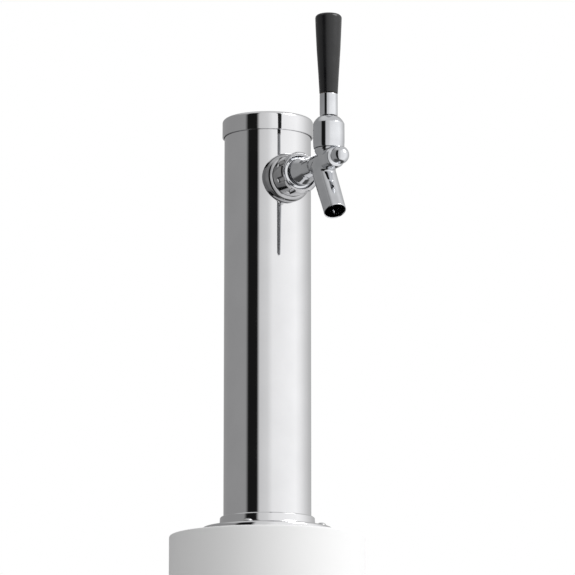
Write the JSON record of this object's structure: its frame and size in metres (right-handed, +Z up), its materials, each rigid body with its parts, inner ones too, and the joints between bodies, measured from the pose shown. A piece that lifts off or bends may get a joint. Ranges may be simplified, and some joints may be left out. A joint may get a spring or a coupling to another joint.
{
  "type": "beer tap tower",
  "caption": "Polished cylindrical beer tap tower with a single forward faucet, a pull lever with a tapered handle, and a screwed round base.",
  "frame": {"origin": "on the column's axis at the underside of the base gasket, where the tower stands on its counter", "axes": "+Z up along the column, -Y forward along the faucet, +X to the left of someone who faces the faucet's spout"},
  "size_m": [0.1142, 0.2067, 0.4572],
  "materials": {
    "polished_steel": "polished",
    "chrome": "polished",
    "zinc_steel": "satin",
    "brass": "satin",
    "black_rubber": "matte",
    "handle_plastic": "satin",
    "cap_plastic": "satin",
    "pale_plastic": "satin",
    "grey_foam": "matte"
  },
  "bodies": {
    "tower": {"base_gasket": "black_rubber", "base_flange": "polished_steel", "base_screw_1": "zinc_steel", "base_screw_2": "zinc_steel", "base_screw_3": "zinc_steel", "base_screw_4": "zinc_steel", "column": "polished_steel", "insulation_sleeve": "grey_foam", "shank": "chrome", "collar_gasket": "black_rubber", "shank_collar": "chrome", "inner_saddle": "zinc_steel", "shank_locknut": "zinc_steel", "tail_gasket": "black_rubber", "tailpiece": "chrome", "tail_nut": "zinc_steel", "coupling_nut": "chrome", "faucet_gasket": "black_rubber", "faucet_body": "chrome", "ball_washer": "black_rubber", "friction_ring": "pale_plastic", "bonnet": "chrome"},
    "cap": {"column_cap": "polished_steel", "cap_plug": "cap_plastic", "cap_o_ring": "black_rubber"},
    "tap_lever": {"lever": "chrome", "lever_collar": "chrome", "handle_insert": "brass", "handle": "handle_plastic"},
    "valve": {"valve_shaft": "chrome", "valve_washer": "black_rubber", "valve_nut": "brass"}
  },
  "joints": [
    {"name": "lever_tilt", "type": "hinge", "parent": "tower", "child": "tap_lever", "pos_m": [0, -0.1205, 0.3345], "axis": [1, 0, 0], "range_deg": [0, 22]},
    {"name": "valve_slide", "type": "slide", "parent": "tower", "child": "valve", "axis": [0, 1, 0], "range_m": [0, 0.0083]},
    {"name": "cap_lift", "type": "slide", "parent": "tower", "child": "cap", "axis": [0, 0, 1], "range_m": [0, 0.045]}
  ],
  "couplings": [
    {"joint": "valve_slide", "follows": "lever_tilt", "m_per_rad": 0.021463}
  ]
}
